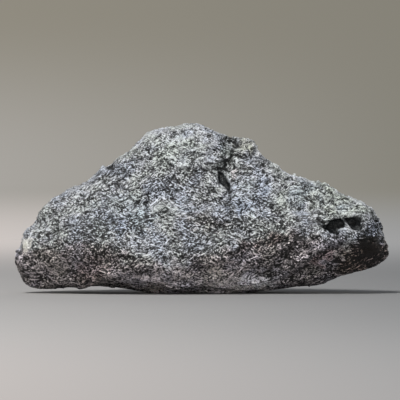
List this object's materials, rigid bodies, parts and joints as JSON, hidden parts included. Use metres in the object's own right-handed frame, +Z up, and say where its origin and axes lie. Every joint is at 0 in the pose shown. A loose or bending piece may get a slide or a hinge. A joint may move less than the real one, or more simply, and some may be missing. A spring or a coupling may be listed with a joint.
{
  "type": "raw nuummite stone",
  "caption": "Rough broken piece of nuummite, a dark fibrous rock with a tall crest, a cleft, ledges and a black pit, which stands on a small flat spot.",
  "frame": {"origin": "under the middle of the stone's box, on the surface that it stands on", "axes": "+X along the stone's length, towards its right end as the picture shows it; +Y away from the camera; +Z up"},
  "size_m": [0.1148, 0.0428, 0.0521],
  "materials": {
    "nuummite": "matte"
  },
  "bodies": {
    "root": {"nuummite": "nuummite"}
  },
  "joints": []
}
